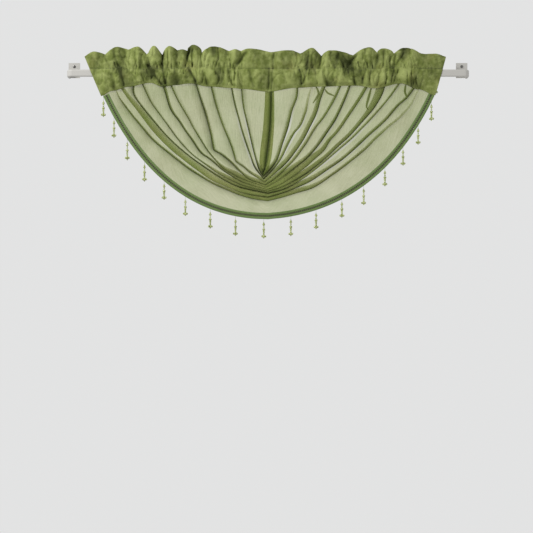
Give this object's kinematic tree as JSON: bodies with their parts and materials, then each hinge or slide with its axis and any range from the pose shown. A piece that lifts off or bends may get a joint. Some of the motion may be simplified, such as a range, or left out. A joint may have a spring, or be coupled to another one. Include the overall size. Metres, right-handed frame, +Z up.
{
  "type": "swag valance on a curtain rod",
  "caption": "Sheer swag valance with a gathered rod-pocket heading, nested U folds and a beaded braid along its hem, hung on a flat curtain rod held by wall brackets.",
  "frame": {"origin": "on the wall plane, midway between the two rod brackets, at the height of the rod's axis", "axes": "+X along the rod to the viewer's right, +Y into the wall, +Z up; the front of the cloth faces -Y"},
  "size_m": [1.332, 0.063, 0.6323],
  "materials": {
    "white_paint": "white baked paint, soft sheen",
    "screw_steel": "dull plain steel",
    "heading_cloth": "crumpled olive green cloth, opaque where doubled",
    "sheer_voile": "sheer olive green voile, darker where layers lie over each other",
    "braid": "dark green woven braid with a chain-stitched core",
    "beads": "clear moss green faceted beads on thread"
  },
  "bodies": {
    "root": {"rod": "white_paint", "bracket_left": "white_paint", "bracket_right": "white_paint", "screw_left": "screw_steel", "screw_right": "screw_steel", "heading": "heading_cloth", "swag": "sheer_voile", "bead_trim": "braid"}
  },
  "joints": []
}
